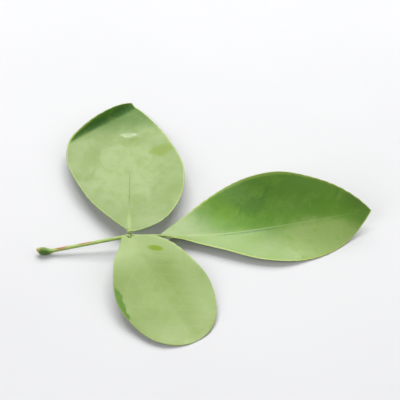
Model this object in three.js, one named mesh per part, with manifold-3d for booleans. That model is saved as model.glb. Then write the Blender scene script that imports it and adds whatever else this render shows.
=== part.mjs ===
// Bael leaf (Aegle marmelos), picked, and lying on its underside.
//
// The leaf is a thin stalk with three leaflets: one on each side, and a larger one at the end on a stalk
// of its own. Each leaflet is jointed to the stalk, and drops off by itself when the leaf ages, so the
// stalk and the leaflets are four pieces with a hairline gap at each joint. The leaf rests on the drooping
// far part of both side leaflets and on the near edge of the end leaflet.
//
// Units are millimetres and degrees. +X runs from the foot of the stalk to the tip of the end leaflet,
// +Y is to the left of that, and +Z is up. The origin lies on the surface, below the middle of the leaf.

import * as THREE from 'three';
import { mergeVertices } from 'three/addons/utils/BufferGeometryUtils.js';
import Module from 'manifold-3d';

const DEGREE = Math.PI / 180;

// The junction is where the three leaflets meet the stalk. The leaf is laid out around it.
const JUNCTION = new THREE.Vector3(0, 0, 5.2);
const JUNCTION_RADIUS = 0.74;
const GAP = 0.3;

// The stalk, from its junction back to its foot.
const STALK_LENGTH = 33;
const STALK_RADIUS = 0.63;
const STALK_DROOP = 7.4;
const HEEL_RADIUS = 1.4;
const HEEL_LENGTH = 4.5;
const HEEL_KICK = 20;
const SCAR_RADIUS = 0.7;
const SCAR_LENGTH = 1.2;

// The knob at the junction fades into the stalk over its reach. Its face is a flat in front, given as
// shares of the knob's radius: how far out it lies, and how wide it is.
const KNOB_REACH = 1.6;
const KNOB_FACE_OUT = 0.7;
const KNOB_FACE_RADIUS = 0.6;

// A leaflet's own stalk narrows to this share at its joint.
const JOINT_SHARE = 0.7;

// The blades.
const BLADE_THICKNESS = 0.44;
const MARGIN_THICKNESS = 0.24;
const MIDRIB_TIP_RADIUS = 0.16;

// The midrib ends at this share of the blade's length, and sinks below the blade's middle by this share
// of its radius once it is past the blade's foot.
const MIDRIB_REACH = 0.93;
const MIDRIB_SINK = 0.6;
const MIDRIB_SUNK_FROM = 0.2;

// A lobe grows to its full length over this distance from the midrib, and fades out over this share of the
// blade's length.
const LOBE_RISE = 2.2;
const LOBE_FADE = 0.035;

// How finely the faces are cut.
const STATIONS_ALONG = 30;
const STRIPS_PER_SIDE = 7;
const MIDRIB_RINGS = 16;
const MIDRIB_SIDES = 8;
const STALK_RINGS = 26;
const STALK_SIDES = 12;
const STALK_RING_SPACING = 3;
const SPINE_STEPS = 200;

// One leaflet is laid out along its midrib. Three values in a row hold for the base, the middle and the
// tip of the blade, and the rest follows smoothly.
//   heading    where the midrib points where the blade begins, counterclockwise from +X
//   turn       how much the midrib swings to the left by its tip
//   pitch      how steeply the midrib climbs
//   roll       how much the blade is twisted about its midrib
// Each side of the blade has its own shape:
//   width      widest distance from midrib to margin
//   base, tip  how slender the blade is at that end: 0.5 is round, 1 is pointed, more is drawn out
//   lift       how steeply the blade leaves the midrib, upwards
//   cup        how much further it has curled up at the margin
//   lobe       how far the foot of the blade reaches back past its joint, if it does
const END_LEAFLET = {
  name: 'terminal_leaflet',
  stalk: { length: 10.3, heading: -3, pitch: -6, radius: 0.58 },
  length: 76.5,
  heading: -2.3,
  turn: 3,
  pitch: [-12.6, 5.4, 1.3],
  roll: [-16.4, 13.1, 44.7],
  left: { width: 19.9, base: 1, tip: 0.89, lift: [12, 3, 8.8], cup: [5, 44, 34] },
  right: { width: 14.9, base: 1.63, tip: 0.93, lift: [15, 2.1, 4], cup: [2, 18, 4] },
};

const LEFT_LEAFLET = {
  name: 'left_leaflet',
  stalk: { length: 1.8, heading: 82.6, pitch: 6, radius: 0.68 },
  length: 63.7,
  heading: 82.6,
  turn: 0,
  pitch: [-6, -4, -7.9],
  roll: [0, 0, 0],
  left: { width: 22.9, base: 1.03, tip: 0.78, lift: [4, 4, 11.6], cup: [4, 3, 6] },
  right: { width: 19.9, base: 0.53, tip: 0.92, lift: [4, 4, 4], cup: [4, 4, 4] },
  // The far margin on the left is turned up, from a crease between two places on the blade. A place is a
  // share of the way along the midrib, and a share of the way from midrib to left margin.
  fold: { from: [0.64, 0.99], to: [0.94, 0], radius: 3.2, angle: 62 },
};

const RIGHT_LEAFLET = {
  name: 'right_leaflet',
  stalk: { length: 1.8, heading: -68.5, pitch: 34, radius: 0.6 },
  length: 46.6,
  heading: -68.5,
  turn: 0,
  pitch: [-4.5, -8.9, -3.9],
  roll: [0, 0, 0],
  left: { width: 15.9, base: 0.53, tip: 0.43, lift: [5, 4, 4], cup: [0, 0, 0] },
  right: { width: 17.1, base: 0.61, tip: 0.5, lift: [8, 4, 4], cup: [0, 0, 0], lobe: 2.5 },
};

const GREENS = {
  stalk: 0x8a9650,
  end: 0x7ca14f,
  left: 0xa9c47f,
  right: 0xa2bb75,
};

const wasm = await Module();
wasm.setup();

// The value at share s of the way, through three values that hold at 0, a half and 1.
function through([first, middle, last], s) {
  return first * (1 - s) * (1 - 2 * s) + 4 * middle * s * (1 - s) + last * s * (2 * s - 1);
}

// A level direction turned up by a pitch.
function direction(heading, pitch) {
  const level = Math.cos(pitch * DEGREE);
  return new THREE.Vector3(
    level * Math.cos(heading * DEGREE),
    level * Math.sin(heading * DEGREE),
    Math.sin(pitch * DEGREE),
  );
}

function halfWidth(side, s) {
  const widest = side.base / (side.base + side.tip);
  return side.width * (s / widest) ** side.base * ((1 - s) / (1 - widest)) ** side.tip;
}

// A point on an arc: it leaves at an angle and then turns at a steady rate, both in radians.
function alongArc(distance, angle, rate) {
  if (Math.abs(rate) < 1e-9) {
    return [distance * Math.cos(angle), distance * Math.sin(angle)];
  }
  const end = angle + rate * distance;
  return [(Math.sin(end) - Math.sin(angle)) / rate, (Math.cos(angle) - Math.cos(end)) / rate];
}

// The midrib's points, one more than SPINE_STEPS, walked from where the blade begins.
function walkSpine(leaflet) {
  const { stalk } = leaflet;
  const place = JUNCTION.clone().addScaledVector(direction(stalk.heading, stalk.pitch), stalk.length);
  const points = [place.clone()];
  for (let step = 0; step < SPINE_STEPS; step += 1) {
    const s = (step + 0.5) / SPINE_STEPS;
    const ahead = direction(leaflet.heading + leaflet.turn * s, through(leaflet.pitch, s));
    place.addScaledVector(ahead, leaflet.length / SPINE_STEPS);
    points.push(place.clone());
  }
  return points;
}

// The place of the midrib at share s, with the directions ahead, to the left and up out of the blade.
function frameAt(leaflet, spine, s) {
  const step = Math.min(Math.floor(s * SPINE_STEPS), SPINE_STEPS - 1);
  const point = spine[step].clone().lerp(spine[step + 1], s * SPINE_STEPS - step);
  const heading = leaflet.heading + leaflet.turn * s;
  const ahead = direction(heading, through(leaflet.pitch, s));
  const roll = through(leaflet.roll, s) * DEGREE;
  const left = direction(heading + 90, 0).applyAxisAngle(ahead, roll);
  const up = new THREE.Vector3().crossVectors(ahead, left);
  return { point, ahead, left, up };
}

// How far back a blade's foot reaches at a place on it.
function lobeAt(side, distance, s) {
  const grown = THREE.MathUtils.smoothstep(distance, 0, LOBE_RISE);
  return (side.lobe ?? 0) * grown * Math.exp(-((s / LOBE_FADE) ** 2));
}

// The point at share s along the blade and share u across it, from -1 at the right margin to 1 at the
// left one, and at a height above the middle of the blade's thickness.
function flatBladePoint(leaflet, frame, s, u, height) {
  const side = u > 0 ? leaflet.left : leaflet.right;
  const outward = frame.left.clone().multiplyScalar(u > 0 ? 1 : -1);
  const distance = Math.abs(u) * halfWidth(side, s);
  const angle = through(side.lift, s) * DEGREE;
  const rate = (through(side.cup, s) * DEGREE) / side.width;
  const [out, rise] = alongArc(distance, angle, rate);
  const slope = angle + rate * distance;
  return frame.point.clone()
    .addScaledVector(frame.ahead, -lobeAt(side, distance, s))
    .addScaledVector(outward, out - height * Math.sin(slope))
    .addScaledVector(frame.up, rise + height * Math.cos(slope));
}

// The crease that a fold starts from: a point on it, and the directions along it, across it and up.
function creaseOf(leaflet, spine) {
  const { from, to } = leaflet.fold;
  const placeOf = ([s, u]) => flatBladePoint(leaflet, frameAt(leaflet, spine, s), s, u, 0);
  const start = placeOf(from);
  const along = placeOf(to).sub(start).normalize();
  const middle = frameAt(leaflet, spine, (from[0] + to[0]) / 2);
  const up = middle.up.clone().addScaledVector(along, -middle.up.dot(along)).normalize();
  const across = new THREE.Vector3().crossVectors(up, along);
  return { start, along, across, up };
}

// Rolls a point that lies beyond the crease up around a cylinder that touches the blade there.
function foldPoint(point, crease, { radius, angle }) {
  const offset = point.clone().sub(crease.start);
  const beyond = offset.dot(crease.across);
  if (beyond <= 0) {
    return point;
  }
  const height = offset.dot(crease.up);
  const turned = Math.min(beyond / radius, angle * DEGREE);
  const rest = beyond - radius * turned;
  const out = (radius - height) * Math.sin(turned) + rest * Math.cos(turned);
  const rise = radius + (height - radius) * Math.cos(turned) + rest * Math.sin(turned);
  return crease.start.clone()
    .addScaledVector(crease.along, offset.dot(crease.along))
    .addScaledVector(crease.across, out)
    .addScaledVector(crease.up, rise);
}

// A closed solid through a row of rings with equally many points, which run counterclockwise for someone
// who looks from the first ring to the last. Each end is closed by a strip between the halves of its ring.
function loft(rings) {
  const size = rings[0].length;
  const corners = [];
  const cornerOf = (ring, k) => ring * size + (k % size);
  for (let ring = 0; ring + 1 < rings.length; ring += 1) {
    for (let k = 0; k < size; k += 1) {
      corners.push(cornerOf(ring, k), cornerOf(ring + 1, k + 1), cornerOf(ring, k + 1));
      corners.push(cornerOf(ring, k), cornerOf(ring + 1, k), cornerOf(ring + 1, k + 1));
    }
  }
  const last = rings.length - 1;
  for (let k = 0; k + 1 < size / 2; k += 1) {
    const opposite = size - 1 - k;
    corners.push(cornerOf(0, k), cornerOf(0, k + 1), cornerOf(0, opposite));
    corners.push(cornerOf(0, k + 1), cornerOf(0, opposite - 1), cornerOf(0, opposite));
    corners.push(cornerOf(last, k), cornerOf(last, opposite), cornerOf(last, k + 1));
    corners.push(cornerOf(last, k + 1), cornerOf(last, opposite), cornerOf(last, opposite - 1));
  }
  const geometry = new THREE.BufferGeometry().setFromPoints(rings.flat());
  geometry.setIndex(corners);
  return geometry;
}

// The blade, as rings that run along its upper face and back along its lower one.
function bladeGeometry(leaflet, spine) {
  const crease = leaflet.fold ? creaseOf(leaflet, spine) : null;
  const bladePoint = (frame, s, u, height) => {
    const point = flatBladePoint(leaflet, frame, s, u, height);
    return crease ? foldPoint(point, crease, leaflet.fold) : point;
  };
  const rings = [];
  for (let station = 1; station < STATIONS_ALONG; station += 1) {
    const s = (1 - Math.cos((Math.PI * station) / STATIONS_ALONG)) / 2;
    const frame = frameAt(leaflet, spine, s);
    const upper = [];
    const lower = [];
    for (let strip = -STRIPS_PER_SIDE; strip <= STRIPS_PER_SIDE; strip += 1) {
      const u = strip / STRIPS_PER_SIDE;
      const height = THREE.MathUtils.lerp(BLADE_THICKNESS, MARGIN_THICKNESS, u ** 4) / 2;
      upper.push(bladePoint(frame, s, u, height));
      lower.unshift(bladePoint(frame, s, u, -height));
    }
    rings.push([...lower, ...upper]);
  }
  return loft(rings);
}

// A round ring about a point, square to a direction, that starts at its lowest place.
function roundRing(centre, ahead, radius, sides) {
  const side = new THREE.Vector3(-ahead.y, ahead.x, 0).normalize();
  const up = new THREE.Vector3().crossVectors(ahead, side);
  const ring = [];
  for (let k = 0; k < sides; k += 1) {
    const turn = (2 * Math.PI * (k + 0.5)) / sides;
    ring.push(centre.clone()
      .addScaledVector(side, -radius * Math.sin(turn))
      .addScaledVector(up, -radius * Math.cos(turn)));
  }
  return ring;
}

// The leaflet's own stalk and, in one with it, the midrib that thins out along the underside.
function midribGeometry(leaflet, spine) {
  const { stalk } = leaflet;
  const stalkWay = direction(stalk.heading, stalk.pitch);
  const clear = JUNCTION_RADIUS + GAP;
  const rings = [];
  const stalkRings = Math.max(2, Math.round(stalk.length / STALK_RING_SPACING));
  for (let k = 0; k < stalkRings; k += 1) {
    const reach = THREE.MathUtils.lerp(clear, stalk.length, k / stalkRings);
    const radius = k === 0 ? stalk.radius * JOINT_SHARE : stalk.radius;
    const centre = JUNCTION.clone().addScaledVector(stalkWay, reach);
    rings.push(roundRing(centre, stalkWay, radius, MIDRIB_SIDES));
  }
  for (let k = 1; k <= MIDRIB_RINGS; k += 1) {
    const s = (MIDRIB_REACH * k) / MIDRIB_RINGS;
    const frame = frameAt(leaflet, spine, s);
    const radius = THREE.MathUtils.lerp(stalk.radius, MIDRIB_TIP_RADIUS, Math.sqrt(s));
    const sunk = Math.min(s / MIDRIB_SUNK_FROM, 1) * radius * MIDRIB_SINK;
    const centre = frame.point.clone().addScaledVector(frame.up, -sunk);
    rings.push(roundRing(centre, frame.ahead, radius, MIDRIB_SIDES));
  }
  return loft(rings);
}

function toManifold(geometry) {
  const bare = geometry.clone();
  bare.deleteAttribute('normal');
  bare.deleteAttribute('uv');
  const merged = mergeVertices(bare);
  return new wasm.Manifold(new wasm.Mesh({
    numProp: 3,
    vertProperties: new Float32Array(merged.getAttribute('position').array),
    triVerts: new Uint32Array(merged.getIndex().array),
  }));
}

function joined(first, second) {
  const { vertProperties, triVerts } = toManifold(first).add(toManifold(second)).getMesh();
  const geometry = new THREE.BufferGeometry();
  geometry.setAttribute('position', new THREE.BufferAttribute(vertProperties, 3));
  geometry.setIndex(new THREE.BufferAttribute(triVerts, 1));
  return geometry;
}

function namedMesh(name, geometry, color, roughness) {
  geometry.computeVertexNormals();
  const material = new THREE.MeshStandardMaterial({ color, roughness, metalness: 0 });
  const mesh = new THREE.Mesh(geometry, material);
  mesh.name = name;
  return mesh;
}

function leafletMesh(leaflet, color) {
  const spine = walkSpine(leaflet);
  const geometry = joined(bladeGeometry(leaflet, spine), midribGeometry(leaflet, spine));
  return namedMesh(leaflet.name, geometry, color, 0.45);
}

// The stalk's radius at a distance back from the junction: a small knob there, an even stem, and a
// swollen heel before the scar where the leaf came off its twig.
function stalkRadius(distance) {
  const knob = Math.exp(-((distance / KNOB_REACH) ** 2));
  const fromScar = STALK_LENGTH - distance;
  const heel = Math.exp(-(((fromScar - 0.55 * HEEL_LENGTH) / (0.5 * HEEL_LENGTH)) ** 2));
  const swell = knob * (JUNCTION_RADIUS - STALK_RADIUS) + heel * (HEEL_RADIUS - STALK_RADIUS);
  const scar = Math.max(0, 1 - fromScar / SCAR_LENGTH) * (HEEL_RADIUS - SCAR_RADIUS) * 0.5;
  return STALK_RADIUS + swell - scar;
}

function stalkMesh() {
  const rings = [];
  const place = JUNCTION.clone();
  const step = STALK_LENGTH / STALK_RINGS;
  const kickFrom = STALK_LENGTH - 1.3 * HEEL_LENGTH;
  const front = JUNCTION.clone().add(new THREE.Vector3(KNOB_FACE_OUT * JUNCTION_RADIUS, 0, 0));
  const towardsFoot = direction(180, -STALK_DROOP);
  rings.push(roundRing(front, towardsFoot, KNOB_FACE_RADIUS * JUNCTION_RADIUS, STALK_SIDES));
  for (let k = 0; k <= STALK_RINGS; k += 1) {
    const distance = k * step;
    const kick = HEEL_KICK * THREE.MathUtils.smoothstep(distance, kickFrom, STALK_LENGTH);
    const way = direction(180 - kick, -STALK_DROOP + 1.4 * kick);
    rings.push(roundRing(place, way, stalkRadius(distance), STALK_SIDES));
    place.addScaledVector(way, step);
  }
  return namedMesh('petiole', loft(rings), GREENS.stalk, 0.5);
}

// Moves the group so that its lowest point is on the surface and its middle is over the origin.
function setDown(group) {
  group.updateMatrixWorld(true);
  const box = new THREE.Box3().setFromObject(group, true);
  const middle = box.getCenter(new THREE.Vector3());
  group.position.set(-middle.x, -middle.y, -box.min.z);
}

const leaf = new THREE.Group();
leaf.name = 'bael_leaf';
leaf.add(stalkMesh());
leaf.add(leafletMesh(END_LEAFLET, GREENS.end));
leaf.add(leafletMesh(LEFT_LEAFLET, GREENS.left));
leaf.add(leafletMesh(RIGHT_LEAFLET, GREENS.right));
setDown(leaf);

export default leaf;
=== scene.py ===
"""A bael leaf, picked, and lying on a pale table under soft studio light.

The leaf is a stalk and three leaflets. Each leaflet is one closed skin: its own short stalk widens into
a thin blade, whose midrib and side veins stand out below and lie a little sunk above. The shape tables
are in millimetres and degrees, laid out around the junction where the leaflets meet the stalk.
"""

import math

import bpy
import numpy as np
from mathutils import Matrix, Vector

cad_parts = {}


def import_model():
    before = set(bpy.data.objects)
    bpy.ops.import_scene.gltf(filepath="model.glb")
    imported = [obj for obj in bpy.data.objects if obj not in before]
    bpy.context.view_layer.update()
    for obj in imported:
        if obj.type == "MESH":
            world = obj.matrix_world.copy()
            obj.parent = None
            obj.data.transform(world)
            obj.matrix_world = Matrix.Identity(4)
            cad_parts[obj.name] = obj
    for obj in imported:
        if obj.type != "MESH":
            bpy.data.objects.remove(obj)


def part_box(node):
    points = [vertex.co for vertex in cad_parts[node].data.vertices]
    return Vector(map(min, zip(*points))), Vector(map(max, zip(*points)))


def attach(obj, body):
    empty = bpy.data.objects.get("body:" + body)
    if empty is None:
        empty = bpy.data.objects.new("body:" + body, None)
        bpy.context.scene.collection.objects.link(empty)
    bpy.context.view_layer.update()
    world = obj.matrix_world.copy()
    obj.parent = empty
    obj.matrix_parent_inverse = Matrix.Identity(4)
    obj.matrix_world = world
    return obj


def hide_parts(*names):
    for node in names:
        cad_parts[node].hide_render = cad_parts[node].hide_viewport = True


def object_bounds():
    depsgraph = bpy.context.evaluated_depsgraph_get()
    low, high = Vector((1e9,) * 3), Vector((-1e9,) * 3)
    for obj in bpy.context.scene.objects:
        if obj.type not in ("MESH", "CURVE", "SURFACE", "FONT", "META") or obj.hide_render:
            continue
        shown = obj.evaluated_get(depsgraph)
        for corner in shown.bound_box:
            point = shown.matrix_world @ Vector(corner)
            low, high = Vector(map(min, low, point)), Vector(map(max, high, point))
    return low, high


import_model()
cad_low, cad_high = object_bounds()

MM = 0.001

# The shape, as the solids have it.
JUNCTION = np.array([0.0, 0.0, 5.2])
JUNCTION_RADIUS = 0.74
GAP = 0.3
STALK_LENGTH = 33.0
STALK_RADIUS = 0.63
STALK_DROOP = 7.4
HEEL_RADIUS = 1.4
HEEL_LENGTH = 4.5
HEEL_KICK = 20.0
SCAR_RADIUS = 0.7
SCAR_LENGTH = 1.2
KNOB_REACH = 1.6

# Three values in a row hold for the base, the middle and the tip of a blade.
END_LEAFLET = {
    "node": "terminal_leaflet",
    "stalk": {"length": 10.3, "heading": -3, "pitch": -6, "radius": 0.58},
    "length": 76.5,
    "heading": -2.3,
    "turn": 3,
    "pitch": (-12.6, 5.4, 1.3),
    "roll": (-16.4, 13.1, 44.7),
    "left": {"width": 19.9, "base": 1, "tip": 0.89, "lift": (12, 3, 8.8), "cup": (5, 44, 34)},
    "right": {"width": 14.9, "base": 1.63, "tip": 0.93, "lift": (15, 2.1, 4), "cup": (2, 18, 4)},
    "fold": None,
    "crest": 0.5,
    "groove": 0.03,
    "teeth": 27,
    "stations": 236,
}
LEFT_LEAFLET = {
    "node": "left_leaflet",
    "stalk": {"length": 1.8, "heading": 82.6, "pitch": 6, "radius": 0.68},
    "length": 63.7,
    "heading": 82.6,
    "turn": 0,
    "pitch": (-6, -4, -7.9),
    "roll": (0, 0, 0),
    "left": {"width": 22.9, "base": 1.03, "tip": 0.78, "lift": (4, 4, 11.6), "cup": (4, 3, 6)},
    "right": {"width": 19.9, "base": 0.53, "tip": 0.92, "lift": (4, 4, 4), "cup": (4, 4, 4)},
    "fold": {"from": (0.64, 0.99), "to": (0.94, 0), "radius": 3.2, "angle": 62},
    "crest": 0.5,
    "groove": 0.05,
    "teeth": 24,
    "stations": 236,
}
RIGHT_LEAFLET = {
    "node": "right_leaflet",
    "stalk": {"length": 1.8, "heading": -68.5, "pitch": 34, "radius": 0.6},
    "length": 46.6,
    "heading": -68.5,
    "turn": 0,
    "pitch": (-4.5, -8.9, -3.9),
    "roll": (0, 0, 0),
    "left": {"width": 15.9, "base": 0.53, "tip": 0.43, "lift": (5, 4, 4), "cup": (0, 0, 0)},
    "right": {"width": 17.1, "base": 0.61, "tip": 0.5, "lift": (8, 4, 4), "cup": (0, 0, 0), "lobe": 2.5},
    "fold": None,
    "crest": 0.1,
    "groove": 0.012,
    "teeth": 19,
    "stations": 200,
}

# A lobe grows to its full length over this distance from the midrib, and fades out over this share of the
# blade's length.
LOBE_RISE = 2.2
LOBE_FADE = 0.035

# The finer shape, which only the looks have.
BLADE_THICKNESS = 0.34
MIDRIB_TIP_RADIUS = 0.14
CREASE_ROUNDING = 0.7
TOOTH_DEPTH = 0.2
MARGIN_RIPPLE = 0.32
BODY_RIPPLE = 0.16

# No point of a blade lies lower than this above the surface.
LOWEST = 0.02

# A leaflet's own stalk narrows to this share at its joint, after a slight swelling.
JOINT_SHARE = 0.78
JOINT_SWELL = 0.12

# The midrib's flanks reach this many of its radii to each side, and it stands out below by this many.
MIDRIB_SPREAD = 1.9
MIDRIB_DEPTH = 1.15

# How deep the side veins lie above and how far they stand out below, and how far the blade swells up
# between them above and draws in below.
VEIN_SUNK = 0.008
VEIN_RAISED = 0.11
SWELL_ABOVE = 0.006
SWELL_BELOW = 0.03

# The stalk has a channel above, fine ribs along it, slow bumps, and wrinkles at its ends. All of them are
# shares of its radius.
CHANNEL_DEPTH = 0.16
RIB_DEPTH = 0.02
BUMP_DEPTH = 0.035
WRINKLE_DEPTH = 0.03

# How finely the skins are cut.
SIDE_SAMPLES = 70
LEAFLET_STALK_RINGS = 14
STALK_RINGS = 150
STALK_SIDES = 48
SPINE_STEPS = 400

# Side veins leave the midrib this far apart and sweep towards the tip.
VEIN_SPACING = 4.6
VEIN_SLANT = 0.62
VEIN_SWEEP = 0.013

# A step from vein to vein is this much shorter when it is taken square to the veins.
VEIN_TILT = 0.85

# The veins wander in two waves. Each has a size, in vein spacings, and turns by so many radians per
# millimetre along the blade and across it.
VEIN_BEND = (0.11, 0.31, 0.2)
VEIN_KINK = (0.035, 0.12, 0.6)


# ---------------------------------------------------------------- shape

def through(values, s):
    """The value at share s, through three values that hold at 0, a half and 1."""
    first, middle, last = values
    return first * (1 - s) * (1 - 2 * s) + 4 * middle * s * (1 - s) + last * s * (2 * s - 1)


def smoothstep(low, high, x):
    t = np.clip((x - low) / (high - low), 0, 1)
    return t * t * (3 - 2 * t)


def unit(v):
    return v / np.linalg.norm(v, axis=-1, keepdims=True)


def direction(heading, pitch):
    """Level directions turned up by a pitch, both in degrees."""
    heading, pitch = np.radians(heading), np.radians(pitch)
    heading, pitch = np.broadcast_arrays(heading, pitch)
    level = np.cos(pitch)
    return np.stack([level * np.cos(heading), level * np.sin(heading), np.sin(pitch)], -1)


def half_width(side, s):
    base, tip = side["base"], side["tip"]
    widest = base / (base + tip)
    return side["width"] * (s / widest) ** base * ((1 - s) / (1 - widest)) ** tip


def spine_places(leaflet, s):
    """Where the midrib is at shares s of the blade's length."""
    stalk = leaflet["stalk"]
    start = JUNCTION + stalk["length"] * direction(stalk["heading"], stalk["pitch"])
    middles = (np.arange(SPINE_STEPS) + 0.5) / SPINE_STEPS
    heading = leaflet["heading"] + leaflet["turn"] * middles
    steps = direction(heading, through(leaflet["pitch"], middles)) * leaflet["length"] / SPINE_STEPS
    walked = start + np.vstack([np.zeros(3), np.cumsum(steps, axis=0)])
    ends = np.linspace(0, 1, SPINE_STEPS + 1)
    return np.stack([np.interp(s, ends, walked[:, axis]) for axis in range(3)], -1)


def frames_at(leaflet, s):
    """The midrib's places at shares s, and the directions ahead, to the left and up out of the blade."""
    heading = leaflet["heading"] + leaflet["turn"] * s
    ahead = direction(heading, through(leaflet["pitch"], s))
    level_left = direction(heading + 90, 0 * s)
    level_up = np.cross(ahead, level_left)
    roll = np.radians(through(leaflet["roll"], s))[:, None]
    left = level_left * np.cos(roll) + level_up * np.sin(roll)
    return spine_places(leaflet, s), ahead, left, np.cross(ahead, left)


def plain_place(leaflet, s, u):
    """A place on the blade's middle surface, u from -1 at the right margin to 1 at the left one."""
    point, _, left, up = (rows[0] for rows in frames_at(leaflet, np.array([s])))
    side = leaflet["left"] if u > 0 else leaflet["right"]
    distance = abs(u) * half_width(side, s)
    angle = math.radians(through(side["lift"], s))
    rate = math.radians(through(side["cup"], s)) / side["width"] or 1e-9
    end = angle + rate * distance
    out = (math.sin(end) - math.sin(angle)) / rate
    rise = (math.cos(angle) - math.cos(end)) / rate
    return point + left * math.copysign(out, u) + up * rise


def fold_over(points, leaflet):
    """Rolls what lies beyond the crease up around a cylinder that touches the blade there."""
    fold = leaflet["fold"]
    start = plain_place(leaflet, *fold["from"])
    along = unit(plain_place(leaflet, *fold["to"]) - start)
    middle = np.array([(fold["from"][0] + fold["to"][0]) / 2])
    up = frames_at(leaflet, middle)[3][0]
    up = unit(up - along * (up @ along))
    across = np.cross(up, along)
    offset = points - start
    beyond = offset @ across
    height = offset @ up
    radius = fold["radius"]
    turned = np.clip(beyond / radius, 0, math.radians(fold["angle"]))
    rest = beyond - radius * turned
    out = (radius - height) * np.sin(turned) + rest * np.cos(turned)
    rise = radius + (height - radius) * np.cos(turned) + rest * np.sin(turned)
    place = start + np.multiply.outer(offset @ along, along)
    place = place + np.multiply.outer(out, across) + np.multiply.outer(rise, up)
    return place


def vein_phase(along, across):
    """Whole numbers lie on the side veins. The two sides are half a step apart."""
    distance = np.abs(across)
    phase = (along - VEIN_SLANT * distance - VEIN_SWEEP * distance**2) / VEIN_SPACING
    for (size, by_along, by_across), sideways in ((VEIN_BEND, across), (VEIN_KINK, distance)):
        phase = phase + size * np.sin(by_along * along + by_across * sideways)
    return phase + 0.5 * (across > 0)


def cross_sections(leaflet, s, wide, radius):
    """The blade's half sections: places out and up from the midrib, and the slope there.

    Rows are stations and columns are samples from the midrib to the margin, for both sides."""
    t = np.linspace(0, 1, SIDE_SAMPLES + 1)
    share = 0.5 * t + 0.25 * (1 - np.cos(math.pi * t))
    halves = {}
    for name in ("right", "left"):
        side = leaflet[name]
        distance = wide[name][:, None] * share
        lift = np.radians(through(side["lift"], s))[:, None]
        rate = np.radians(through(side["cup"], s))[:, None] / side["width"]
        rounding = np.maximum(CREASE_ROUNDING, 1.2 * radius)[:, None]
        slope = lift * (1 - np.exp(-((distance / rounding) ** 2))) + rate * distance
        middle_slope = (slope[:, 1:] + slope[:, :-1]) / 2
        steps = np.diff(distance, axis=1)
        nought = np.zeros((len(s), 1))
        out = np.hstack([nought, np.cumsum(steps * np.cos(middle_slope), axis=1)])
        rise = np.hstack([nought, np.cumsum(steps * np.sin(middle_slope), axis=1)])
        halves[name] = (share, distance, slope, out, rise)
    return halves


def tooth_profile(leaflet, name, s):
    """How far low round teeth set the margin back, in millimetres."""
    shift = {"left": 0.0, "right": 0.37}[name]
    wave = np.abs(np.sin(math.pi * (leaflet["teeth"] * s**1.08 + shift)))
    strength = 0.55 + 0.45 * np.sin(9 * s + 5 * shift)
    wobble = 0.28 * np.sin(13 * s + 4 * shift) * np.sin(math.pi * s)
    return TOOTH_DEPTH * strength * (1 - wave**0.7) - wobble


def face_heights(leaflet, along, across, share, width, radius):
    """How far the upper and the lower face lie from the blade's middle surface.

    Where the blade is hardly wider than the midrib, both follow the round midrib instead."""
    distance = np.abs(across)
    edge = np.sqrt(np.clip(1 - share**26, 0, 1))
    slab = BLADE_THICKNESS / 2 * edge * np.minimum(1, 0.35 + radius)
    bell = np.clip(1 - (distance / (MIDRIB_SPREAD * radius)) ** 2, 0, None) ** 2
    near_base = np.exp(-np.clip(along, 0, None) / 3.5)
    groove = leaflet["groove"] * (1 - near_base) * np.exp(-((distance / 0.35) ** 2))
    upper_rib = leaflet["crest"] * radius * near_base * bell - groove
    lower_rib = MIDRIB_DEPTH * radius * bell
    relief, quilt = vein_relief(along, across, width)
    upper = slab + upper_rib - VEIN_SUNK * relief + SWELL_ABOVE * quilt
    lower = slab + lower_rib + VEIN_RAISED * relief - SWELL_BELOW * quilt
    tube = np.sqrt(np.clip(radius**2 - distance**2, 0, None))
    blade_like = smoothstep(1.0, 2.6, width / radius)
    top = tube + (upper - tube) * blade_like
    bottom = tube + (lower - tube) * blade_like
    return top * edge, bottom * edge


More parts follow.
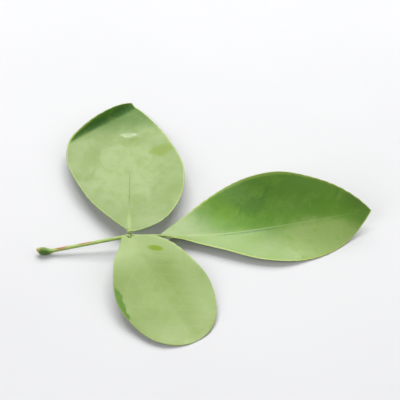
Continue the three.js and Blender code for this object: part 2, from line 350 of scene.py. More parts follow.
def leaflet_rings(leaflet):
    """The leaflet's skin as rings of points from the foot of its stalk to its tip, with its maps.

    Each ring runs over the upper face from the right margin to the left one, and back below."""
    stalk = leaflet["stalk"]
    count = leaflet["stations"]
    blade_s = (1 - np.cos(np.linspace(0, math.pi, count))) / 2
    reach = np.linspace(JUNCTION_RADIUS + GAP, stalk["length"], LEAFLET_STALK_RINGS, endpoint=False)
    s = np.concatenate([np.zeros(LEAFLET_STALK_RINGS), blade_s])
    along = np.concatenate([reach - stalk["length"], blade_s * leaflet["length"]])
    point, ahead, left, up = frames_at(leaflet, s)
    way = direction(stalk["heading"], stalk["pitch"])
    on_stalk = slice(0, LEAFLET_STALK_RINGS)
    point[on_stalk] = JUNCTION + np.multiply.outer(reach, way)

    # The little stalk narrows at its joint, behind a slight swelling. The midrib thins out to the tip.
    radius = stalk["radius"] + (MIDRIB_TIP_RADIUS - stalk["radius"]) * np.sqrt(s)
    end_round = smoothstep(0, 0.45, reach - reach[0])
    swelling = JOINT_SWELL * np.exp(-(((reach - reach[0] - 0.6) / 0.9) ** 2))
    radius[on_stalk] *= JOINT_SHARE + (1 - JOINT_SHARE) * end_round + swelling
    wide = {}
    for name in ("right", "left"):
        blade_width = half_width(leaflet[name], s) * (along >= 0)
        cut = tooth_profile(leaflet, name, s) * smoothstep(0.8, 4, blade_width)
        wide[name] = ((blade_width - cut) ** 4 + radius**4) ** 0.25
    halves = cross_sections(leaflet, s, wide, radius)

    rows = {"upper": [], "lower": []}
    for name, sign in (("right", -1), ("left", 1)):
        share, distance, slope, out, rise = halves[name]
        signed = sign * distance
        width = wide[name][:, None]
        along_map = np.broadcast_to(along[:, None], distance.shape)
        top, bottom = face_heights(leaflet, along_map, signed, share, width, radius[:, None])
        wave = ripple(leaflet, along_map, signed, share[None, :], s[:, None])
        lobe = leaflet[name].get("lobe", 0) * (s[:, None] > 0) * np.exp(-((s[:, None] / LOBE_FADE) ** 2))
        back = lobe * smoothstep(radius[:, None], LOBE_RISE, distance)
        outward = sign * left[:, None, :]
        maps = np.stack([
            along_map,
            signed,
            np.broadcast_to(s[:, None], signed.shape),
            np.broadcast_to(sign * share, signed.shape),
            width - distance,
        ], -1)
        for face, height in (("upper", wave + top), ("lower", wave - bottom)):
            places = (
                point[:, None, :]
                - ahead[:, None, :] * back[..., None]
                + outward * (out - height * np.sin(slope))[..., None]
                + up[:, None, :] * (rise + height * np.cos(slope))[..., None]
            )
            row = np.concatenate([places, maps], -1)
            rows[face].append(row[:, ::-1] if sign < 0 else row[:, 1:])
    upper = np.concatenate(rows["upper"], 1)
    lower = np.concatenate(rows["lower"], 1)
    ring = np.concatenate([upper, lower[:, -2:0:-1]], 1)
    places = ring[..., :3]
    if leaflet["fold"]:
        places = fold_over(places, leaflet)
    return places, ring[..., 3:]


def vein_relief(along, across, width):
    """How strongly a side vein stands out at each point, and how the blade swells between the veins."""
    distance = np.abs(across)
    phase = vein_phase(along, across)
    off = np.abs(phase - np.round(phase)) * VEIN_SPACING * VEIN_TILT
    reach = 1 - smoothstep(0.55, 0.97, distance / width)
    start = smoothstep(0.3, 1.2, distance) * smoothstep(1, 5, along)
    vein = np.exp(-((off / 0.3) ** 2)) * reach * start
    quilt = smoothstep(0, 1.6, off) * reach * start
    return vein, quilt


def ripple(leaflet, along, across, share, s):
    """The slow unevenness of a real blade, which grows towards the margin."""
    seed = {"terminal_leaflet": 0.4, "left_leaflet": 2.1, "right_leaflet": 4.4}[leaflet["node"]]
    flank = np.where(across > 0, 1.3, 0.0)
    margin = MARGIN_RIPPLE * share**3 * np.sin(along / 4.1 + seed + flank) * np.sin(along / 9.7 + 2 * seed)
    body = np.sin(along / 7.3 + across / 6.1 + seed) * np.sin(across / 5.2 - along / 11 + 3 * seed)
    body = BODY_RIPPLE * body * smoothstep(0, 0.25, share)
    calm = smoothstep(0, 0.18, s) * smoothstep(0, 0.08, 1 - s)
    return (margin + body) * calm


def stalk_radius(distance):
    """A small knob at the junction, an even stem, and a swollen heel before the scar at the foot."""
    knob = np.exp(-((distance / KNOB_REACH) ** 2))
    from_scar = STALK_LENGTH - distance
    heel = np.exp(-(((from_scar - 0.55 * HEEL_LENGTH) / (0.5 * HEEL_LENGTH)) ** 2))
    swell = knob * (JUNCTION_RADIUS - STALK_RADIUS) + heel * (HEEL_RADIUS - STALK_RADIUS)
    scar = np.clip(1 - from_scar / SCAR_LENGTH, 0, None) * (HEEL_RADIUS - SCAR_RADIUS) * 0.5
    return STALK_RADIUS + swell - scar


def stalk_rings():
    """The stalk's skin as rings from the knob at the junction to the scar at its foot."""
    distance = np.linspace(0, STALK_LENGTH, STALK_RINGS)
    kick = HEEL_KICK * smoothstep(STALK_LENGTH - 1.3 * HEEL_LENGTH, STALK_LENGTH, distance)
    way = direction(180 - kick, -STALK_DROOP + 1.4 * kick)
    steps = way[:-1] * (STALK_LENGTH / (STALK_RINGS - 1))
    place = JUNCTION + np.vstack([np.zeros(3), np.cumsum(steps, axis=0)])
    radius = stalk_radius(distance)

    # The knob's front is a round cap, and the scar at the foot is a shallow dimple with a rim.
    front = np.radians(np.linspace(84, 12, 7))
    cap_place = JUNCTION + np.multiply.outer(0.75 * JUNCTION_RADIUS * np.sin(front), -way[0])
    cap_radius = JUNCTION_RADIUS * np.cos(front)
    foot_place = place[-1] + np.multiply.outer(np.array([0.12, 0.1, -0.1]), way[-1])
    foot_radius = radius[-1] * np.array([0.86, 0.62, 0.25])
    place = np.vstack([cap_place, place, foot_place])
    radius = np.concatenate([cap_radius, radius, foot_radius])
    way = np.vstack([np.repeat(way[:1], len(front), 0), way, np.repeat(way[-1:], 3, 0)])
    distance = np.concatenate([0 * front, distance, np.full(3, STALK_LENGTH)])

    side = unit(np.cross(np.array([0.0, 0.0, 1.0]), way))
    up = np.cross(way, side)
    turn = 2 * math.pi * np.arange(STALK_SIDES) / STALK_SIDES
    across, height = -np.sin(turn), -np.cos(turn)
    plain = smoothstep(1.5, 4, distance) * smoothstep(1, 5, STALK_LENGTH - distance)
    channel = CHANNEL_DEPTH * np.exp(-((across / 0.33) ** 2)) * (height > 0)
    ribs = RIB_DEPTH * np.sin(9 * turn)
    bumps = BUMP_DEPTH * np.sin(distance * 2.3)[:, None] * np.sin(3 * turn + 1.1 * distance[:, None])
    wrinkles = WRINKLE_DEPTH * np.sin(distance * 9)[:, None] * (1 - plain)[:, None]
    shape = 1 + (ribs - channel) * plain[:, None] + bumps * plain[:, None] + wrinkles
    spoke = radius[:, None] * shape
    places = (
        place[:, None, :]
        + side[:, None, :] * (spoke * across)[..., None]
        + up[:, None, :] * (spoke * height)[..., None]
    )
    maps = np.stack([
        np.broadcast_to(distance[:, None], spoke.shape),
        np.broadcast_to(turn / (2 * math.pi), spoke.shape),
        np.broadcast_to(height, spoke.shape),
    ], -1)
    return places, maps


# ---------------------------------------------------------------- meshes

def ring_faces(rings, size):
    """Quads between neighbouring rings, as rows of four corners that turn outwards."""
    ring = np.arange(rings - 1)[:, None] * size
    k = np.arange(size)[None, :]
    after = (k + 1) % size
    return np.stack([ring + k, ring + size + k, ring + size + after, ring + after], -1)


def skin_mesh(name, places, uv_maps):
    """A closed mesh through the rings, each end closed by a fan, with UV maps given point by point."""
    rings, size, _ = places.shape
    ends = np.stack([places[0].mean(0), places[-1].mean(0)])
    points = np.vstack([places.reshape(-1, 3), ends])
    quads = ring_faces(rings, size).reshape(-1, 4)
    k = np.arange(size)
    after = (k + 1) % size
    first = np.stack([np.full(size, rings * size), k, after], -1)
    last_ring = (rings - 1) * size
    last = np.stack([np.full(size, rings * size + 1), last_ring + after, last_ring + k], -1)
    mesh = bpy.data.meshes.new(name)
    mesh.from_pydata((points * MM).tolist(), [], quads.tolist() + first.tolist() + last.tolist())
    corners = np.zeros(len(mesh.loops), dtype=np.int32)
    mesh.loops.foreach_get("vertex_index", corners)
    for map_name, values in uv_maps.items():
        values = values.reshape(-1, 2)
        values = np.vstack([values, values[:size].mean(0), values[-size:].mean(0)])
        layer = mesh.uv_layers.new(name=map_name)
        layer.data.foreach_set("uv", values[corners].astype(np.float32).ravel())
    mesh.shade_smooth()
    mesh.update()
    return bpy.data.objects.new(name, mesh)


def show(piece, node, material):
    """Puts a piece in the scene in place of its CAD node."""
    bpy.context.scene.collection.objects.link(piece)
    piece.data.materials.append(material)
    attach(piece, "root")
    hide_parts(node)


# ---------------------------------------------------------------- materials

class Shader:
    """A material made node by node. Sockets and plain numbers may both be given as inputs."""

    def __init__(self, name):
        self.material = bpy.data.materials.new(name)
        self.material.use_nodes = True
        self.tree = self.material.node_tree
        self.tree.nodes.clear()

    def node(self, kind, inputs=(), **settings):
        made = self.tree.nodes.new(kind)
        for key, value in settings.items():
            setattr(made, key, value)
        for key, value in dict(inputs).items():
            self.feed(made.inputs[key], value)
        return made

    def feed(self, socket, value):
        if isinstance(value, bpy.types.NodeSocket):
            self.tree.links.new(value, socket)
        else:
            socket.default_value = value

    def math(self, operation, first, second=0.0, third=0.0):
        made = self.node("ShaderNodeMath", {0: first, 1: second, 2: third}, operation=operation)
        return made.outputs[0]

    def ramp(self, value, low, high, start=0.0, end=1.0):
        """A value carried smoothly from low..high to start..end."""
        inputs = {"Value": value, "From Min": low, "From Max": high, "To Min": start, "To Max": end}
        made = self.node("ShaderNodeMapRange", inputs, interpolation_type="SMOOTHSTEP")
        return made.outputs["Result"]

    def mix(self, factor, first, second):
        made = self.node("ShaderNodeMix", {0: factor, 6: first, 7: second}, data_type="RGBA")
        return made.outputs[2]

    def map(self, name):
        uv = self.node("ShaderNodeUVMap", uv_map=name).outputs[0]
        parts = self.node("ShaderNodeSeparateXYZ", {0: uv})
        return uv, parts.outputs[0], parts.outputs[1]

    def noise(self, place, scale, detail=3.0, roughness=0.55, distortion=0.0):
        inputs = {
            "Vector": place,
            "Scale": scale,
            "Detail": detail,
            "Roughness": roughness,
            "Distortion": distortion,
        }
        return self.node("ShaderNodeTexNoise", inputs).outputs[0]

    def voronoi(self, place, scale, feature):
        made = self.node("ShaderNodeTexVoronoi", {"Vector": place, "Scale": scale}, feature=feature)
        return made.outputs["Distance"]

    def bump(self, height, strength, distance, normal=None):
        inputs = {"Height": height, "Strength": strength, "Distance": distance}
        if normal is not None:
            inputs["Normal"] = normal
        return self.node("ShaderNodeBump", inputs).outputs[0]

    def finish(self, color, roughness, normal, **constants):
        shader = self.node("ShaderNodeBsdfPrincipled", {"Base Color": color, "Roughness": roughness})
        self.feed(shader.inputs["Normal"], normal)
        for key, value in constants.items():
            shader.inputs[key.replace("_", " ")].default_value = value
        self.node("ShaderNodeOutputMaterial", {"Surface": shader.outputs[0]})
        return self.material


def rgb(red, green, blue):
    """A colour in 0 to 255 screen steps, as the linear numbers that a shader takes."""
    linear = []
    for step in (red, green, blue):
        c = step / 255
        linear.append(c / 12.92 if c <= 0.04045 else ((c + 0.055) / 1.055) ** 2.4)
    return (*linear, 1.0)


def laid_over(sh, share, under, value):
    """A colour or a plain number laid over another one."""
    if isinstance(value, tuple):
        return sh.mix(share, under, value)
    kept = sh.math("MULTIPLY", under, sh.math("SUBTRACT", 1.0, share))
    return sh.math("MULTIPLY_ADD", share, value, kept)


def roughened(sh, at, value, ragged):
    """A distance made uneven by the blotches of the blade."""
    return sh.math("MULTIPLY_ADD", sh.math("SUBTRACT", at["blotch"], 0.5), 2 * ragged, value)


def beyond(point, bearing, reach, value, strength, ragged=0.0):
    """A colour that fades in over a distance from a straight line across the blade and fills all beyond.

    The line runs through a point, and the bearing leads away from it."""
    cos, sin = math.cos(math.radians(bearing)), math.sin(math.radians(bearing))

    def paint(sh, at, under):
        x = sh.math("MULTIPLY", sh.math("SUBTRACT", at["along"], point[0]), cos)
        y = sh.math("MULTIPLY", sh.math("SUBTRACT", at["across"], point[1]), sin)
        far = roughened(sh, at, sh.math("ADD", x, y), ragged)
        return laid_over(sh, sh.ramp(far, 0.0, reach, 0.0, strength), under, value)

    return paint


def patch_of(center, size, turn, value, strength, ragged):
    """A soft oval patch on a blade, with half its length and breadth, for a colour or a roughness."""
    cos, sin = math.cos(math.radians(turn)), math.sin(math.radians(turn))

    def paint(sh, at, under):
        x = sh.math("SUBTRACT", at["along"], center[0])
        y = sh.math("SUBTRACT", at["across"], center[1])
        length = sh.math("ADD", sh.math("MULTIPLY", x, cos), sh.math("MULTIPLY", y, sin))
        breadth = sh.math("SUBTRACT", sh.math("MULTIPLY", y, cos), sh.math("MULTIPLY", x, sin))
        length = sh.math("POWER", sh.math("DIVIDE", length, size[0]), 2.0)
        breadth = sh.math("POWER", sh.math("DIVIDE", breadth, size[1]), 2.0)
        far = roughened(sh, at, sh.math("SQRT", sh.math("ADD", length, breadth)), ragged)
        return laid_over(sh, sh.ramp(far, 1.0, 0.55, 0.0, strength), under, value)

    return paint


def crescent(middle, half_length, side, depth, value, strength, ragged):
    """A crescent along the margin, on the left side for 1 or the right side for -1."""

    def paint(sh, at, under):
        x = sh.math("DIVIDE", sh.math("SUBTRACT", at["along"], middle), half_length)
        taper = sh.math("SUBTRACT", 1.0, sh.math("MULTIPLY", x, x))
        inside = sh.math("SUBTRACT", sh.math("MULTIPLY", taper, depth), at["to_margin"])
        inside = roughened(sh, at, inside, ragged)
        share = sh.ramp(inside, -0.1, 0.5, 0.0, strength)
        on_side = sh.math("GREATER_THAN", sh.math("MULTIPLY", at["across"], side), 0.0)
        share = sh.math("MULTIPLY", share, on_side)
        return laid_over(sh, share, under, value)

    return paint


def blade_places(sh):
    """Where a point is on the blade, in millimetres and in shares, and the unevenness of the green."""
    place, along, across = sh.map("blade_mm")
    _, s, u = sh.map("blade_share")
    _, facing, to_margin = sh.map("blade_edge")
    return {
        "place": place,
        "along": along,
        "across": across,
        "distance": sh.math("ABSOLUTE", across),
        "s": s,
        "u": u,
        "from_above": sh.ramp(facing, -0.4, 0.4),
        "to_margin": to_margin,
        "broad": sh.noise(place, 0.055, 3, 0.6, 0.4),
        "blotch": sh.noise(place, 0.19, 4, 0.65, 0.6),
        "grain": sh.noise(place, 2.4, 3, 0.6),
    }


def side_veins(sh, at):
    """The side veins, from the same rule as the relief in the mesh."""
    along, across, distance = at["along"], at["across"], at["distance"]
    slant = sh.math("MULTIPLY", distance, VEIN_SLANT)
    sweep = sh.math("MULTIPLY", sh.math("MULTIPLY", distance, distance), VEIN_SWEEP)
    phase = sh.math("SUBTRACT", sh.math("SUBTRACT", along, slant), sweep)
    phase = sh.math("DIVIDE", phase, VEIN_SPACING)
    for (size, by_along, by_across), sideways in ((VEIN_BEND, across), (VEIN_KINK, distance)):
        angle = sh.math("MULTIPLY_ADD", sideways, by_across, sh.math("MULTIPLY", along, by_along))
        phase = sh.math("MULTIPLY_ADD", sh.math("SINE", angle), size, phase)
    phase = sh.math("MULTIPLY_ADD", sh.math("GREATER_THAN", across, 0.0), 0.5, phase)
    off = sh.math("MULTIPLY", sh.math("PINGPONG", phase, 0.5), VEIN_SPACING * VEIN_TILT)
    vein = sh.math("MULTIPLY", sh.ramp(off, 0.42, 0.05), sh.ramp(sh.math("ABSOLUTE", at["u"]), 0.97, 0.5))
    return sh.math("MULTIPLY", vein, sh.ramp(along, 1, 5))


def small_veins(sh, place):
    """The net of small veins, the finer net within it, and the oil glands."""
    wander = sh.node("ShaderNodeTexNoise", {"Vector": place, "Scale": 0.9, "Detail": 2.0}).outputs["Color"]
    bent = sh.node("ShaderNodeVectorMath", {0: place, 1: wander}, operation="ADD").outputs[0]
    net = sh.ramp(sh.voronoi(bent, 0.62, "DISTANCE_TO_EDGE"), 0.09, 0.0)
    fine_net = sh.ramp(sh.voronoi(bent, 1.7, "DISTANCE_TO_EDGE"), 0.12, 0.0)
    glands = sh.ramp(sh.voronoi(place, 1.15, "F1"), 0.2, 0.1)
    return net, fine_net, glands


def upper_face(sh, at, look, veins, glands):
    """Waxy bloom and painted sheen over green, thinner in places at random, with the leaflet's own
    patches.
    """
    color = sh.mix(sh.ramp(at["broad"], 0.3, 0.7), look["deep"], look["pale"])
    for paint in look["patches"]:
        color = paint(sh, at, color)
    color = sh.mix(sh.ramp(at["blotch"], 0.5, 0.74, 0.0, look["fresh_strength"]), color, look["fresh"])
    color = sh.mix(sh.math("MULTIPLY", veins, look["vein_strength"]), color, look["vein"])
    color = sh.mix(sh.math("MULTIPLY", glands, 0.1), color, look["fresh"])
    color = sh.mix(sh.ramp(at["grain"], 0.3, 0.75, 0.0, 0.12), color, look["deep"])
    speckle = sh.noise(at["place"], 0.8, 4, 0.7)
    return sh.mix(sh.ramp(speckle, 0.56, 0.78, 0.0, 0.3), color, look["speckle"])


def lower_face(sh, at, veins, glands):
    """Paler and duller than above, with lighter veins."""
    color = sh.mix(sh.ramp(at["blotch"], 0.35, 0.7), rgb(126, 152, 88), rgb(140, 165, 102))
    color = sh.mix(sh.math("MULTIPLY", veins, 0.5), color, rgb(172, 188, 128))
    return sh.mix(sh.math("MULTIPLY", glands, 0.2), color, rgb(104, 134, 66))


def with_midrib(sh, at, look, color):
    """Lays the midrib, which is broad and pale at its foot, and the leaflet's own stalk over a colour."""
    s, along = at["s"], at["along"]
    foot = sh.ramp(along, 17, 3)
    width = sh.ramp(s, 0.0, 0.9, look["rib_width"], 0.1)
    width = sh.math("MULTIPLY_ADD", foot, look["foot_width"], width)
    rib = sh.ramp(sh.math("DIVIDE", at["distance"], width), 1.0, 0.45)
    fade = look["rib_fade"]
    rib = sh.math("MULTIPLY", rib, sh.ramp(s, fade + 0.1, fade, 0.0, look["rib_strength"]))
    rib_color = sh.mix(foot, look["rib"], rgb(152, 176, 92))
    rib_color = sh.mix(at["from_above"], rgb(170, 186, 118), rib_color)
    color = sh.mix(rib, color, rib_color)
    stalk_color = sh.mix(sh.ramp(at["blotch"], 0.35, 0.65), rgb(152, 176, 90), rgb(166, 188, 108))
    return sh.mix(sh.ramp(along, 1.2, -0.4), color, stalk_color)


def with_rim(sh, at, look, color):
    """Lays the thin pale rim over a colour."""
    rim = sh.ramp(at["to_margin"], look["rim_width"], 0.12)
    rim = sh.math("MULTIPLY", rim, sh.ramp(at["along"], 2, 4))
    rim = sh.math("MULTIPLY", rim, sh.ramp(at["broad"], 0.3, 0.6, *look["rim_strength"]))
    return sh.mix(rim, color, rgb(172, 192, 88))


def leaflet_material(leaflet, look):
    sh = Shader(leaflet["node"] + "_skin")
    at = blade_places(sh)
    net, fine_net, glands = small_veins(sh, at["place"])
    veins = sh.math("MAXIMUM", side_veins(sh, at), sh.math("MULTIPLY", net, 0.45))
    veins = sh.math("MAXIMUM", veins, sh.math("MULTIPLY", fine_net, 0.25))
    upper = upper_face(sh, at, look, veins, glands)
    color = sh.mix(at["from_above"], lower_face(sh, at, veins, glands), upper)
    color = with_midrib(sh, at, look, color)
    color = with_rim(sh, at, look, color)

    roughness = sh.ramp(at["blotch"], 0.3, 0.7, look["roughness"] - 0.04, look["roughness"] + 0.06)
    roughness = sh.math("ADD", roughness, sh.math("MULTIPLY_ADD", at["from_above"], -0.12, 0.12))
    for paint in look["shine"]:
        roughness = paint(sh, at, roughness)
    height = sh.math("ADD", sh.math("MULTIPLY", net, -0.5), sh.math("MULTIPLY", fine_net, -0.3))
    height = sh.math("ADD", height, sh.math("MULTIPLY", at["grain"], 0.5))
    height = sh.math("MULTIPLY_ADD", glands, 0.25, height)
    normal = sh.bump(height, 0.35, 0.06 * MM)
    return sh.finish(color, roughness, normal, Specular_IOR_Level=0.75)


# Reddish streaks on the stalk: how far each lies from the junction and its length, then where it lies
# around the stalk and how far it spreads, as shares of the way round, with 0.5 on top.
RED_STREAKS = ((15.5, 6.4, 0.43, 0.11), (24.2, 5.0, 0.47, 0.2))


def stalk_material():
    sh = Shader("stalk_skin")
    _, distance, turn = sh.map("stalk_mm")
    _, height, _ = sh.map("stalk_face")
    around = sh.math("MULTIPLY", turn, 4.0)
    place = sh.node("ShaderNodeCombineXYZ", {0: distance, 1: around, 2: height}).outputs[0]
    blotch = sh.noise(place, 0.5, 4, 0.6, 0.3)
    drawn = sh.node("ShaderNodeCombineXYZ", {0: sh.math("MULTIPLY", distance, 0.35), 1: around, 2: height})
    streak = sh.noise(drawn.outputs[0], 1.6, 4, 0.6)
    # Paler on top and darker underneath, as painted light and shade.
    color = sh.mix(sh.ramp(height, -0.6, 0.5), rgb(92, 124, 40), rgb(170, 194, 104))
    color = sh.mix(sh.ramp(streak, 0.4, 0.75, 0.0, 0.5), color, rgb(132, 156, 66))
    for middle, length, top, spread in RED_STREAKS:
        far = sh.math("DIVIDE", sh.math("ABSOLUTE", sh.math("SUBTRACT", distance, middle)), length / 2)
        wide = sh.math("DIVIDE", sh.math("ABSOLUTE", sh.math("SUBTRACT", turn, top)), spread)
        far = sh.math("ADD", sh.math("MULTIPLY", far, far), sh.math("MULTIPLY", wide, wide))
        far = sh.math("ADD", far, sh.math("MULTIPLY", sh.math("SUBTRACT", streak, 0.5), 1.8))
        color = sh.mix(sh.ramp(far, 1.0, 0.4, 0.0, 0.85), color, rgb(180, 104, 72))
    # The swollen heel is dark green, and painted shade makes it darker still on one flank.
    heel = sh.ramp(distance, STALK_LENGTH - 6.5, STALK_LENGTH - 3.5)
    shaded = sh.math("MULTIPLY_ADD", sh.math("SUBTRACT", turn, 0.5), 2.6, sh.math("SUBTRACT", blotch, 0.5))
    heel = sh.math("MULTIPLY", heel, sh.ramp(shaded, -0.3, 0.25, 0.35, 1.0))
    color = sh.mix(sh.math("MULTIPLY", heel, 0.95), color, rgb(66, 104, 14))
    cork = sh.ramp(distance, STALK_LENGTH - 1.3, STALK_LENGTH - 0.4)
    color = sh.mix(cork, color, rgb(178, 172, 92))
    knob = sh.ramp(distance, 2.6, 0.6)
    color = sh.mix(knob, color, rgb(160, 182, 104))
    grain = sh.noise(place, 5.0, 3, 0.6)
    relief = sh.math("ADD", sh.math("MULTIPLY", streak, 0.8), sh.math("MULTIPLY", grain, 0.3))
    roughness = sh.ramp(streak, 0.3, 0.7, 0.42, 0.58)
    normal = sh.bump(relief, 0.5, 0.08 * MM)
    return sh.finish(color, roughness, normal, Specular_IOR_Level=0.5)


# ---------------------------------------------------------------- the leaf

# The upper face of a leaflet:
#   deep, pale                 the green under and over the waxy bloom, whose paleness is partly painted sheen
#   fresh, speckle, vein       blotches, small specks and veins over it, and how strongly they show
#   rib, foot_width, rib_fade  the midrib, how much broader it is at its foot, and where it is lost
#   rim_width, rim_strength    the pale rim, and how strong it is at its weakest and strongest
#   patches, shine             marks of colour and of roughness, with later ones on top
# Places in marks are millimetres along the blade from its foot and across it, to the left.
END_LOOK = {
    # Darker greens than the side leaflets', partly painted shade where this leaflet tilts away from the
    # light.
    "deep": rgb(90, 142, 12),
    "pale": rgb(102, 152, 26),
    "fresh": rgb(124, 168, 46),
    "fresh_strength": 0.55,
    "speckle": rgb(64, 116, 2),
    "vein": rgb(134, 172, 74),
    "vein_strength": 0.09,
    "rib": rgb(150, 180, 98),
    "rib_width": 0.36,
    "foot_width": 0.1,
    "rib_fade": 0.85,
    "rib_strength": 0.75,
    "rim_width": 0.8,
    "rim_strength": (0.8, 1.0),
    "roughness": 0.46,
    "patches": [
        # The right half is paler and the foot more so, as painted sheen, and the tip is dark, as painted
        # shade.
        beyond((50, 1), -97, 8, rgb(134, 164, 72), 0.85, 3.5),
        beyond((27, 0), 203, 15, rgb(145, 168, 98), 0.95, 7),
        beyond((62, 0), 6, 12, rgb(86, 128, 28), 0.75, 3),
        # A pale patch of painted sheen before the tip, and mottling on the left half.
        patch_of((60, -9), (22, 11), -15, rgb(152, 178, 96), 0.85, 0.3),
        patch_of((34, 10), (9, 5), 20, rgb(72, 126, 0), 0.6, 1.6),
        patch_of((24, 6.5), (7, 4), 30, rgb(118, 162, 30), 0.5, 1.2),
        # Painted shade in the crease beside the midrib, and the bright left margin.
        patch_of((32, -0.6), (14, 0.5), 0, rgb(74, 118, 20), 0.75, 0.3),
        crescent(38, 30, 1, 1.5, rgb(142, 186, 60), 0.75, 0.6),
    ],
    "shine": [],
}
LEFT_LOOK = {
    # Paler greens than the end leaflet's, partly painted sheen on this flatter leaflet.
    "deep": rgb(118, 145, 50),
    "pale": rgb(134, 158, 82),
    "fresh": rgb(118, 147, 52),
    "fresh_strength": 0.45,
    "speckle": rgb(104, 132, 40),
    "vein": rgb(108, 138, 48),
    "vein_strength": 0.12,
    "rib": rgb(96, 128, 38),
    "rib_width": 0.42,
    "foot_width": 0.55,
    "rib_fade": 0.38,
    "rib_strength": 0.7,
    "rim_width": 0.6,
    "rim_strength": (0.6, 0.95),
    "roughness": 0.48,
    "patches": [
        # Paler in the middle, as bloom and painted sheen, and greener towards the tip, as painted shade.
        patch_of((29, 1), (18, 14), 0, rgb(145, 169, 94), 0.6, 0.35),
        beyond((45, 0), 14, 11, rgb(72, 114, 4), 0.9, 4),
        # The turned-up margin is painted dark as shade, darkest at its crease, and has a bright rim.
        beyond((40.4, 21.6), 41, 1.6, rgb(36, 93, 0), 0.97, 0.4),
        beyond((42.4, 23.3), 41, 3, rgb(80, 134, 16), 0.85, 0.8),
        crescent(50, 14, 1, 1.1, rgb(176, 208, 92), 0.85, 0.5),
        # A yellow-green smear, and another one beside the wet streak.
        patch_of((39, -11.8), (4.8, 3.4), -75, rgb(124, 150, 8), 0.85, 0.9),
        patch_of((45, -1.4), (2.9, 1.2), -83, rgb(110, 142, 10), 0.85, 0.3),
    ],
    "shine": [
        # The tip, the turned-up margin and the smear are dull.
        beyond((45, 0), 14, 12, 0.66, 0.85),
        beyond((40.4, 21.6), 41, 1.6, 0.85, 1.0),
        patch_of((39, -11.8), (4.8, 3.4), -75, 0.62, 0.8, 0.9),
        # The wet streak.
        patch_of((47.2, 0.4), (3.9, 1.4), -83, 0.12, 0.95, 0.3),
    ],
}
RIGHT_LOOK = {
    # Paler greens than the end leaflet's, partly painted sheen on this flatter leaflet.
    "deep": rgb(122, 150, 54),
    "pale": rgb(138, 163, 76),
    "fresh": rgb(126, 155, 56),
    "fresh_strength": 0.4,
    "speckle": rgb(112, 140, 44),
    "vein": rgb(156, 178, 104),
    "vein_strength": 0.17,
    "rib": rgb(130, 156, 70),
    "rib_width": 0.4,
    "foot_width": 0.2,
    "rib_fade": 0.2,
    "rib_strength": 0.4,
    "rim_width": 0.4,
    "rim_strength": (0.3, 0.75),
    "roughness": 0.48,
    "patches": [
        # Paler towards the left margin, the tip and the foot, partly as painted sheen.
        beyond((20, 3), 84, 9, rgb(150, 174, 99), 0.8, 3),
        beyond((30, 0), 0, 14, rgb(154, 177, 101), 0.75, 3),
        beyond((16, 2), 172, 10, rgb(154, 178, 102), 0.75, 3),
        # A yellow-green smear, and a dark crescent at the right margin.
        patch_of((8.1, 5.5), (3.6, 1.2), 50, rgb(128, 156, 0), 1.0, 0.5),
        crescent(22.3, 7.8, -1, 2.7, rgb(80, 128, 0), 0.97, 2.4),
    ],
    "shine": [
        patch_of((8.1, 5.5), (3.6, 1.2), 50, 0.8, 1.0, 0.5),
        crescent(22.3, 7.8, -1, 2.7, 0.75, 1.0, 2.4),
    ],
}


def leaflet_piece(leaflet, look, offset):
    places, maps = leaflet_rings(leaflet)
    rings, size, _ = maps.shape
    over = np.zeros(size)
    over[1 : 2 * SIDE_SAMPLES] = 1
    over[2 * SIDE_SAMPLES + 1 :] = -1
    facing = np.broadcast_to(over, (rings, size))
    uv_maps = {
        "blade_mm": maps[..., 0:2],
        "blade_share": maps[..., 2:4],
        "blade_edge": np.stack([facing, maps[..., 4]], -1),
    }
    places = places + offset
    places[..., 2] = np.maximum(places[..., 2], LOWEST)
    piece = skin_mesh(leaflet["node"] + "_skin", places, uv_maps)
    show(piece, leaflet["node"], leaflet_material(leaflet, look))
    return piece


def stalk_piece():
    """The stalk, and how far the leaf's own layout lies from the frame's."""
    places, maps = stalk_rings()
    low, high = (np.array(corner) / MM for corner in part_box("petiole"))
    own_low, own_high = places.min((0, 1)), places.max((0, 1))
    offset = ((low - own_low) + (high - own_high)) / 2
    uv_maps = {
        "stalk_mm": maps[..., 0:2],
        "stalk_face": np.stack([maps[..., 2], 0 * maps[..., 2]], -1),
    }
    piece = skin_mesh("petiole_skin", places + offset, uv_maps)
    show(piece, "petiole", stalk_material())
    return offset


offset = stalk_piece()
for leaflet, look in ((END_LEAFLET, END_LOOK), (LEFT_LEAFLET, LEFT_LOOK), (RIGHT_LEAFLET, RIGHT_LOOK)):
    leaflet_piece(leaflet, look, offset)


# ---------------------------------------------------------------- stage, light and camera

def floor():
    sh = Shader("table")
    place = sh.node("ShaderNodeTexCoord").outputs["Object"]
    cloud = sh.noise(place, 9.0, 3, 0.5)
    color = sh.mix(sh.ramp(cloud, 0.3, 0.7), rgb(220, 220, 221), rgb(223, 223, 224))
    normal = sh.bump(sh.noise(place, 900.0, 2), 0.05, 0.05 * MM)
    material = sh.finish(color, 0.7, normal, Specular_IOR_Level=0.2)
    half = 4.0
    mesh = bpy.data.meshes.new("table")
    corners = [(-half, -half, 0), (half, -half, 0), (half, half, 0), (-half, half, 0)]
    mesh.from_pydata(corners, [], [(0, 1, 2, 3)])
    mesh.materials.append(material)
    table = bpy.data.objects.new("table", mesh)
    bpy.context.scene.collection.objects.link(table)


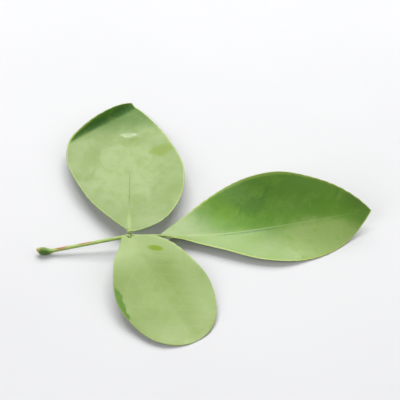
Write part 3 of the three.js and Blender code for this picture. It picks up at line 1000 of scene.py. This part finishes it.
def softbox(name, azimuth, elevation, distance, size, radiance, target):
    """A rectangular light that faces the target from a distance in metres.

    Azimuth 0 is in front, at -Y, and 180 is behind."""
    a, e = math.radians(azimuth), math.radians(elevation)
    back = Vector((math.sin(a) * math.cos(e), -math.cos(a) * math.cos(e), math.sin(e)))
    data = bpy.data.lights.new(name, "AREA")
    data.shape = "RECTANGLE"
    data.size, data.size_y = size
    data.energy = radiance * math.pi * size[0] * size[1]
    lamp = bpy.data.objects.new(name, data)
    lamp.location = target + back * distance
    lamp.rotation_mode = "QUATERNION"
    lamp.rotation_quaternion = back.to_track_quat("Z", "Y")
    bpy.context.scene.collection.objects.link(lamp)


def world(color, strength):
    made = bpy.data.worlds.new("studio")
    made.use_nodes = True
    background = made.node_tree.nodes["Background"]
    background.inputs["Color"].default_value = color
    background.inputs["Strength"].default_value = strength
    bpy.context.scene.world = made


CAMERA_AZIMUTH = -8.0
CAMERA_ELEVATION = 52.0
CAMERA_DISTANCE = 0.76
CAMERA_LENS = 193.0


def camera(aim):
    a, e = math.radians(CAMERA_AZIMUTH), math.radians(CAMERA_ELEVATION)
    back = Vector((math.sin(a) * math.cos(e), -math.cos(a) * math.cos(e), math.sin(e)))
    data = bpy.data.cameras.new("camera")
    data.lens = CAMERA_LENS
    data.sensor_width = 36.0
    data.clip_start, data.clip_end = 0.01, 20.0
    made = bpy.data.objects.new("camera", data)
    made.location = aim + back * CAMERA_DISTANCE
    made.rotation_mode = "QUATERNION"
    made.rotation_quaternion = back.to_track_quat("Z", "Y")
    bpy.context.scene.collection.objects.link(made)
    bpy.context.scene.camera = made


middle = (cad_low + cad_high) / 2
floor()
softbox("back_window", 172, 50, 1.1, (1.15, 0.72), 5.6, middle)
softbox("left_fill", -65, 38, 1.2, (0.9, 0.9), 1.9, middle)
softbox("right_fill", 75, 38, 1.2, (0.9, 0.9), 1.4, middle)
world((0.97, 0.98, 1.0, 1.0), 0.2)
camera(middle)
bpy.context.scene.view_settings.view_transform = "Standard"
